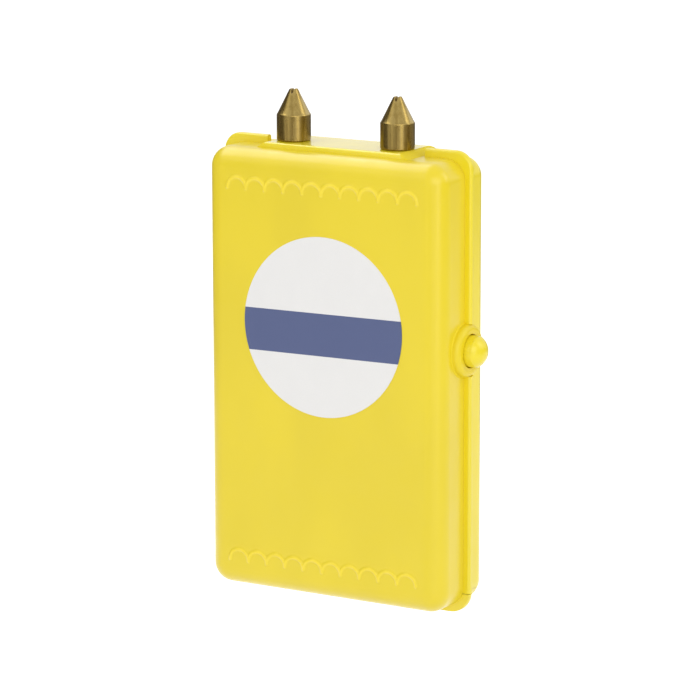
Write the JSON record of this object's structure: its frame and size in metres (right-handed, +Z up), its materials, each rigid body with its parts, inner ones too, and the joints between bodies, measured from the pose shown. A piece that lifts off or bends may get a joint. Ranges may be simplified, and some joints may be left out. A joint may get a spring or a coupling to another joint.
{
  "type": "cattle prodder",
  "caption": "Pocket livestock prodder: flat moulded case with two pointed brass electrodes on top, a sprung side button and a slide-off cover over its cells.",
  "frame": {"origin": "centre of the flat back of the case", "axes": "+Z up to the electrodes, +X to the button side, +Y out of the flat back"},
  "size_m": [0.0881, 0.0279, 0.1495],
  "materials": {
    "case_plastic": "smooth moulded, semi-gloss",
    "label_vinyl": "printed vinyl with a plain blue band",
    "electrode_brass": "turned",
    "plated_steel": "zinc plated",
    "black_plastic": "moulded",
    "red_plastic": "moulded",
    "board_laminate": "solder mask",
    "core_ferrite": "sintered",
    "bobbin_plastic": "moulded",
    "winding_copper": "enamelled wire",
    "resistor_body": "lacquered",
    "cell_jacket": "plain printed jacket",
    "lead_red": "insulated wire",
    "lead_black": "insulated wire"
  },
  "bodies": {
    "case": {"front_cover": "case_plastic", "rear_tray": "case_plastic", "label": "label_vinyl", "electrode_block": "case_plastic", "electrode_left": "electrode_brass", "electrode_right": "electrode_brass", "electrode_nuts": "plated_steel", "solder_tags": "plated_steel", "button_collar": "case_plastic", "button_spring": "plated_steel", "switch_body": "black_plastic", "circuit_board": "board_laminate", "transformer_core": "core_ferrite", "transformer_bobbin": "bobbin_plastic", "transformer_winding": "winding_copper", "storage_capacitor": "red_plastic", "power_transistor": "black_plastic", "diodes": "black_plastic", "resistors": "resistor_body", "cell_1": "cell_jacket", "cell_2": "cell_jacket", "cell_3": "cell_jacket", "cell_4": "cell_jacket", "positive_terminal": "plated_steel", "negative_terminal": "plated_steel", "upper_bridge": "plated_steel", "lower_bridges": "plated_steel", "electrode_lead_left": "lead_red", "electrode_lead_right": "lead_red", "battery_lead_positive": "lead_red", "battery_lead_negative": "lead_black", "case_screws": "plated_steel", "board_screws": "plated_steel"},
    "button": {"push_button": "case_plastic"},
    "plunger": {"switch_plunger": "red_plastic"},
    "cover": {"battery_cover": "case_plastic"}
  },
  "joints": [
    {"name": "button_press", "type": "slide", "parent": "case", "child": "button", "axis": [-1, 0, 0], "range_m": [0, 0.002], "stiffness_N_per_m": 300, "springref_m": -0.002, "deforming": ["button_spring"]},
    {"name": "plunger_press", "type": "slide", "parent": "case", "child": "plunger", "axis": [-1, 0, 0], "range_m": [0, 0.002]},
    {"name": "cover_slide", "type": "slide", "parent": "case", "child": "cover", "axis": [0, 0, -1], "range_m": [0, 0.06]}
  ],
  "couplings": [
    {"joint": "plunger_press", "follows": "button_press", "ratio": 1}
  ]
}
